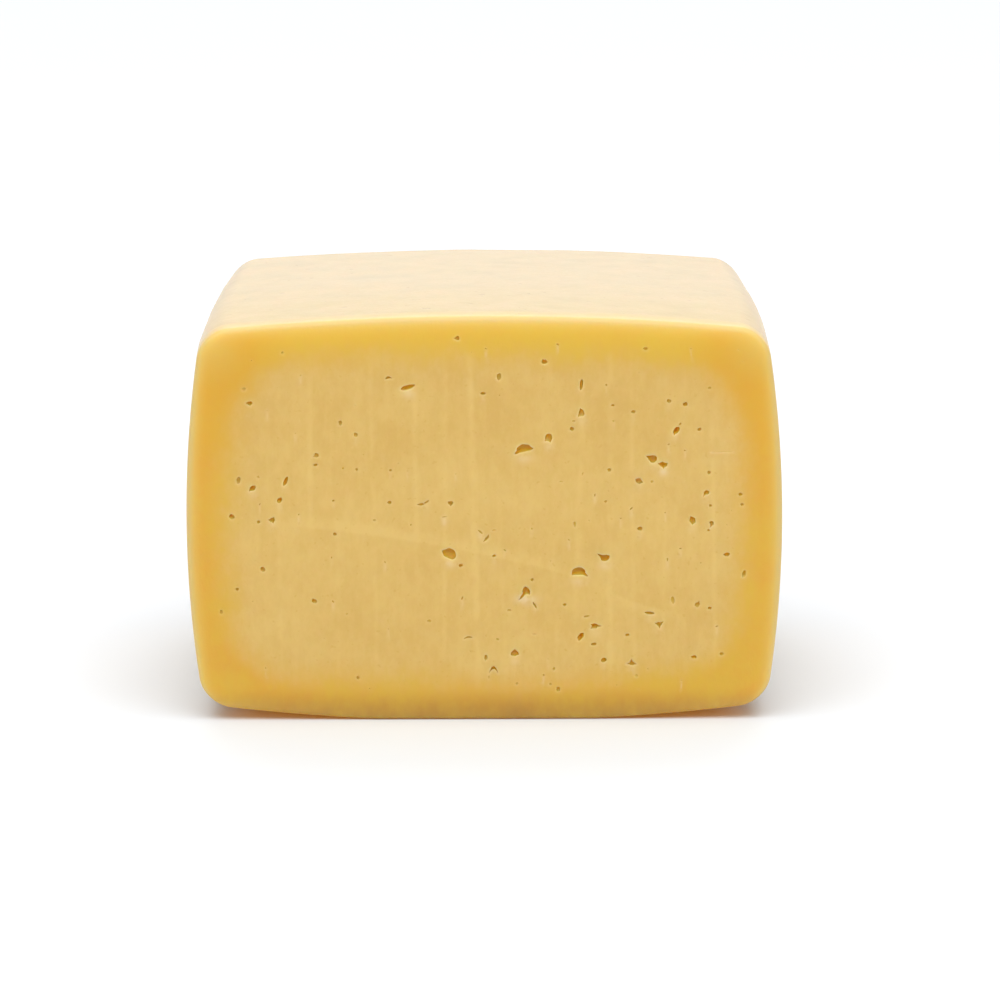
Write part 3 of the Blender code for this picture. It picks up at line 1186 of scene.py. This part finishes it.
class CheeseDress:
    """Turns the finish into shader nodes."""

    def __init__(self, finish: CheeseFinish, mould: Mould) -> None:
        """Opens the material, and lays out the patterns and marks that its parts share.

        Args:
            finish: the colours and the numbers that are mixed.
            mould: the loaf's shape, which the gold frame follows.
        """
        self.finish = finish
        self.mould = mould
        self.made = bpy.data.materials.new("cheese")
        self.mixed: Colour | Socket = finish.paste.paste
        self.bench = Bench(self.made)
        place = self.bench.place()
        self.across, along, self.up = self.bench.axes(place)
        self.behind = along + mould.length / 2
        grain = finish.grain
        self.drag = self.bench.cloud(place, grain.drag)
        self.curd = self.bench.cloud(place, grain.curd)
        self.bloom = self.bench.cloud(place, grain.bloom)
        self.blotch = self.bench.cloud(place, grain.blotch)
        self.speck = self.bench.cloud(place, grain.speck)
        self.fleck = self.bench.cloud(place, grain.fleck)
        self.fine = self.bench.cloud(place, grain.fine)
        self.pores = self.bench.cloud(place, grain.pore).step(finish.rind.pores)
        patches = self.bench.cloud(place, grain.patch).step(finish.knife.streak_patches)
        self.streaks = self.streak_lines() * patches
        self.knife_lines = self.knife_steps()
        # painted light: where the underside near the cut takes the painted orange colour and glow
        self.warm = self.bench.mark("under") * self.behind.step(finish.rind.painted_glow_reach)
        self.shallow = self.depth(mould.edge_radius)
        # painted shade: brown towards the lower edge of the cut face
        self.foot_shade = self.up.step(finish.border.foot_shade_reach)
        at_foot = self.foot_shade * finish.border.crest_lost_at_foot
        # painted highlight: paler within a few mm of the rind, lost along the lower edge
        self.crest_highlight = self.shallow.step(finish.border.crest_highlight_reach) ** 2.0 * (1.0 - at_foot)

    def depth(self, corner: float) -> Shade:
        """How deep a point of the cut face lies under the nearest rind.

        Args:
            corner: the radius at which the corners of the face count as rounded.

        Returns:
            The depth, in metres.
        """
        mould = self.mould
        height = self.up - mould.middle
        above = height.rise(-CROWN_TURN, CROWN_TURN)
        crown = above * (mould.top_crown - mould.base_crown) + mould.base_crown
        side_bow = (height / mould.half_height) ** 2.0 * mould.side_crown
        face_bow = (self.across / mould.half_width) ** 2.0 * crown
        past_side = side_bow + abs(self.across) - (mould.half_width - corner)
        past_face = face_bow + abs(height) - (mould.half_height - corner)
        outer = (past_side.most(0.0) ** 2.0 + past_face.most(0.0) ** 2.0).root()
        return corner - outer - past_side.most(past_face).least(0.0)

    def streak_lines(self) -> Shade:
        """The pale drag lines of the knife.

        Returns:
            Their strength, about 0 to 1.
        """
        knife = self.finish.knife
        lines: Shade | None = None
        for streak in knife.streaks:
            slope = (streak.across_high - streak.across_low) / (streak.high - streak.low)
            middle = self.up * slope + (streak.across_low - slope * streak.low) * MM
            line = (self.across - middle).ridge(streak.width * knife.streak_spread * MM) * streak.strength
            for end, inward in ((streak.low, knife.streak_end), (streak.high, -knife.streak_end)):
                line = line * self.up.rise((end - inward) * MM, (end + inward) * MM)
            lines = line if lines is None else lines + line
        return lines

    def knife_steps(self) -> Shade:
        """The curved steps where the knife changed its hold.

        Returns:
            A relief that is 1 along each step's upper side and fades away from it.
        """
        knife = self.finish.knife
        relief: Shade | None = None
        for line in knife.lines:
            x = self.across - line.across * MM
            z = self.up - line.up * MM
            away = (x * x + z * z).root() - line.radius * MM
            step = away.step(knife.line_rise) * away.step(knife.line_fall)
            for end, fade in ((line.first, knife.line_first), (line.last, knife.line_last)):
                step = step * self.across.rise((end + fade.start) * MM, (end + fade.stop) * MM)
            relief = step if relief is None else relief + step
        return relief

    def lay(self, share: Shade, colour: Colour | Socket) -> None:
        """Lays a colour over what is mixed so far."""
        self.mixed = self.bench.blend(share, self.mixed, colour)

    def paste(self) -> None:
        """Mixes the paste inside the gold frame."""
        look = self.finish.paste
        tone = self.curd.step(look.curd) + self.drag * look.drag + self.bloom.step(look.bloom)
        # paler streaks, and knife steps paler along one side as a painted highlight
        tone = tone + self.streaks * look.streaks + self.knife_lines * look.knife_lines
        tone = tone + self.up.step(look.high_up)
        tone = tone + self.fleck.step(look.pale_fleck) + self.fleck.step(look.dark_fleck)
        self.mixed = self.bench.blend(tone, look.paste, look.pale)

    def frame(self) -> None:
        """Lays the gold frame over the paste."""
        look = self.finish.gold
        blend = self.bench.blend
        ragged = (self.bloom - 0.5) * look.ragged_bloom + (self.blotch - 0.5) * look.ragged_blotch
        inward = self.depth(look.corner) + ragged + (self.curd - 0.5) * look.ragged_curd
        deep = self.bloom.step(look.deep_bloom) + self.curd.step(look.deep_curd) - look.deep_from
        gold = blend(deep, look.gold, look.deep)
        gold = blend(self.up.step(look.high_up), gold, look.high)
        shoulder = abs(self.across).step(look.warm_across) * self.up.step(look.warm_up)
        self.lay(inward.step(look.reach), blend(shoulder, gold, look.warm))

    def border(self) -> None:
        """Lays the painted highlight near the rind, the painted sheen at the very edge and the painted
        shade along the lower edge over the border of the cut face.
        """
        look = self.finish.border
        # painted highlight near the rind and in the upper corners
        self.lay(self.crest_highlight * look.crest_highlight_share, look.crest_highlight)
        corner = abs(self.across).step(look.highlight_corner_across) * self.up.step(look.highlight_corner_up)
        self.lay(corner, look.crest_highlight)
        # painted sheen at the very edge, left off along the lower edge
        self.lay(self.shallow.step(look.rim_sheen_reach) * (1.0 - self.foot_shade), look.rim)
        # painted shade along the lower edge, mottled
        mottle = (self.bloom - 0.5) * look.foot_shade_bloom + (self.curd - 0.5) * look.foot_shade_curd
        self.lay(self.foot_shade * (mottle + look.foot_shade_share), look.foot_shade)

    def eyes(self) -> None:
        """Lays the smears, the painted highlight on the lips and the painted shade on the walls of the
        eyes over the cut face.
        """
        look = self.finish.eyes
        bench = self.bench
        self.lay(bench.mark("smear") * self.curd.step(look.smear_curd), look.smear)
        # painted highlight on the lips of the eyes
        self.lay(bench.mark("lip_and_highlight") * look.lip_highlight_share, look.lip_and_highlight)
        # painted shade on the walls of the eyes
        wall = bench.blend(bench.mark("deep"), look.pocket_rim_shade, look.pocket_shade)
        self.lay(bench.mark("pocket_shade"), wall)

    def skin(self) -> None:
        """Mixes the rind, with painted shade on its top and a painted orange glow on its underside."""
        look = self.finish.rind
        blend = self.bench.blend
        self.mixed = blend(self.blotch.step(look.blotch), look.deep, look.rind)
        self.lay(self.fine.step(look.fine), look.pale)
        near = self.behind.step(look.near) + self.behind.step(look.nearest)
        mottle = (self.blotch - 0.5) * look.top_mottle + look.top_share
        # painted shade on the rind where it faces up, darkest near the cut
        self.lay(self.bench.mark("top_shade_mask") * mottle, blend(near, look.top, look.top_near))
        # painted light: the underside near the cut painted deep orange
        self.lay(self.warm, look.under)
        self.lay(self.pores * look.pore_share, look.pore)

    def colour(self, rind: Shade) -> Socket:
        """The colour of the whole block.

        Args:
            rind: 1 on the rind and 0 on the cut face.

        Returns:
            The colour.
        """
        for layer in (self.paste, self.frame, self.border, self.eyes):
            layer()
        face = self.mixed
        self.skin()
        return self.bench.blend(rind, face, self.mixed)

    def relief(self, rind: Shade) -> Socket:
        """The fine relief of the cut face and of the rind.

        Args:
            rind: 1 on the rind and 0 on the cut face.

        Returns:
            The normal.
        """
        look = self.finish.surface
        face = self.drag * look.drag + self.speck * look.speck + self.curd * look.curd
        face = face + self.streaks * look.streaks + self.knife_lines * look.knife_lines
        skin = self.fine * look.fine + self.blotch * look.blotch - self.pores * look.pores
        return self.bench.relief((1.0 - rind) * face + rind * skin, look.relief)

    def material(self) -> bpy.types.Material:
        """The cheese's material.

        Returns:
            The material.
        """
        look = self.finish.surface
        rind = self.bench.mark("rind")
        uneven = (self.speck - 0.5) * look.roughness_speck
        uneven = uneven + (self.blotch - 0.5) * rind * look.roughness_blotch
        self.bench.set(
            Base_Color=self.colour(rind),
            Roughness=uneven + look.roughness,
            Normal=self.relief(rind),
            Coat_Weight=rind.most(self.crest_highlight * look.crest_coat),
            Coat_Roughness=look.coat_roughness,
            # painted light: the underside near the cut glows orange, though it is no lamp
            Emission_Color=self.bench.blend(self.warm, self.finish.rind.no_painted_glow, self.finish.rind.glow),
            Emission_Strength=1.0,
            Subsurface_Weight=1.0,
            Subsurface_Scale=look.scatter_scale,
            Subsurface_Radius=look.scatter_radius,
            IOR=look.refraction,
        )
        return self.made


@dataclass(frozen=True)
class Softbox:
    """A square soft light that faces the block."""

    name: str
    place: tuple[float, float, float]
    size: float
    power: float

    def build(self) -> bpy.types.Object:
        """The lamp, in its place."""
        lamp = bpy.data.lights.new(self.name, "AREA")
        lamp.shape = "SQUARE"
        lamp.size = self.size
        lamp.energy = self.power
        made = bpy.data.objects.new(self.name, lamp)
        made.location = self.place
        made.rotation_euler = Vector(self.place).to_track_quat("Z", "Y").to_euler()
        bpy.context.scene.collection.objects.link(made)
        return made


@dataclass
class Studio:
    """A plain pale floor, soft light from all round and above, and the camera."""

    mould: Mould
    floor_reach: float = 6.0
    floor_cells: int = 8
    floor_drop: float = 0.1 * MM
    floor_colour: Colour = (0.655, 0.675, 0.700, 1.0)
    floor_roughness: float = 0.7
    floor_shine: float = 0.2
    surround: float = 0.76
    backdrop: float = 1.05
    backdrop_behind: Step = Step(-0.7, 0.4)
    backdrop_height: Step = Step(0.6, 0.15)
    softboxes: tuple[Softbox, ...] = (
        Softbox("key", (0.0, -0.9, 1.9), 2.4, 49.0),
        Softbox("rear", (0.0, 1.9, 2.0), 2.0, 24.0),
    )
    look_down: float = math.radians(11.0)
    swing: float = math.radians(-0.13)
    lean: float = math.radians(-0.2)
    distance: float = 2215.6 * MM
    aim_across: float = 3.94 * MM
    aim_up: float = 56.05 * MM
    focal_length: float = 319.4
    sensor: float = 36.0

    def floor(self) -> bpy.types.Object:
        """The floor, a hair below the block.

        Returns:
            The floor.
        """
        bm = bmesh.new()
        cells = self.floor_cells
        bmesh.ops.create_grid(bm, x_segments=cells, y_segments=cells, size=self.floor_reach)
        bmesh.ops.translate(bm, vec=(0, 0, -self.floor_drop), verts=bm.verts)
        made = new_object("studio_floor", bm)
        paint = bpy.data.materials.new("studio_floor")
        Bench(paint).set(
            Base_Color=self.floor_colour,
            Roughness=self.floor_roughness,
            Specular_IOR_Level=self.floor_shine,
        )
        made.data.materials.append(paint)
        return made

    def light(self) -> None:
        """The white surround, brighter low down behind the block, and the softboxes."""
        scene = bpy.context.scene
        scene.world = bpy.data.worlds.new("white_surround")
        bench = Bench(scene.world, "Background")
        _, behind, height = bench.axes(bench.place())
        glow = behind.step(self.backdrop_behind) * height.step(self.backdrop_height)
        strength = glow * (self.backdrop - self.surround) + self.surround
        bench.set(Color=(1.0, 1.0, 1.0, 1.0), Strength=strength)
        for softbox in self.softboxes:
            softbox.build()
        scene.view_settings.view_transform = "Standard"

    def camera(self) -> None:
        """A long lens that looks a little down on the cut face."""
        ahead = Vector((
            math.sin(self.swing) * math.cos(self.look_down),
            math.cos(self.swing) * math.cos(self.look_down),
            -math.sin(self.look_down),
        ))
        right = Vector((math.cos(self.swing), -math.sin(self.swing), 0.0))
        above = right.cross(ahead)
        leaned_right = right * math.cos(self.lean) + above * math.sin(self.lean)
        leaned_up = above * math.cos(self.lean) - right * math.sin(self.lean)
        aim = Vector((self.aim_across, -self.mould.length / 2, self.aim_up))
        lens = bpy.data.cameras.new("camera")
        lens.lens = self.focal_length
        lens.sensor_width = self.sensor
        camera = bpy.data.objects.new("camera", lens)
        turn = Matrix((leaned_right, leaned_up, -ahead)).transposed().to_4x4()
        camera.matrix_world = Matrix.Translation(aim - ahead * self.distance) @ turn
        bpy.context.scene.collection.objects.link(camera)
        bpy.context.scene.camera = camera

    def build(self) -> None:
        """Sets up the whole studio."""
        self.floor()
        self.light()
        self.camera()


def main() -> None:
    """Builds the cheese and the studio."""
    logging.basicConfig(level=logging.INFO, format="%(message)s")
    low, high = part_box(NODE)
    mould = Mould(width=high.x - low.x, length=high.y - low.y, rest_height=high.z - low.z)
    face = CutFace(mould)
    cheese = HalfLoaf(mould, face, CheeseFinish()).build()
    log.info("%s: %d faces, %d eyes", cheese.name, len(cheese.data.polygons), len(face.eyes))
    Studio(mould).build()
    log.info("studio: floor, softboxes and camera")


if __name__ == "__main__":
    main()
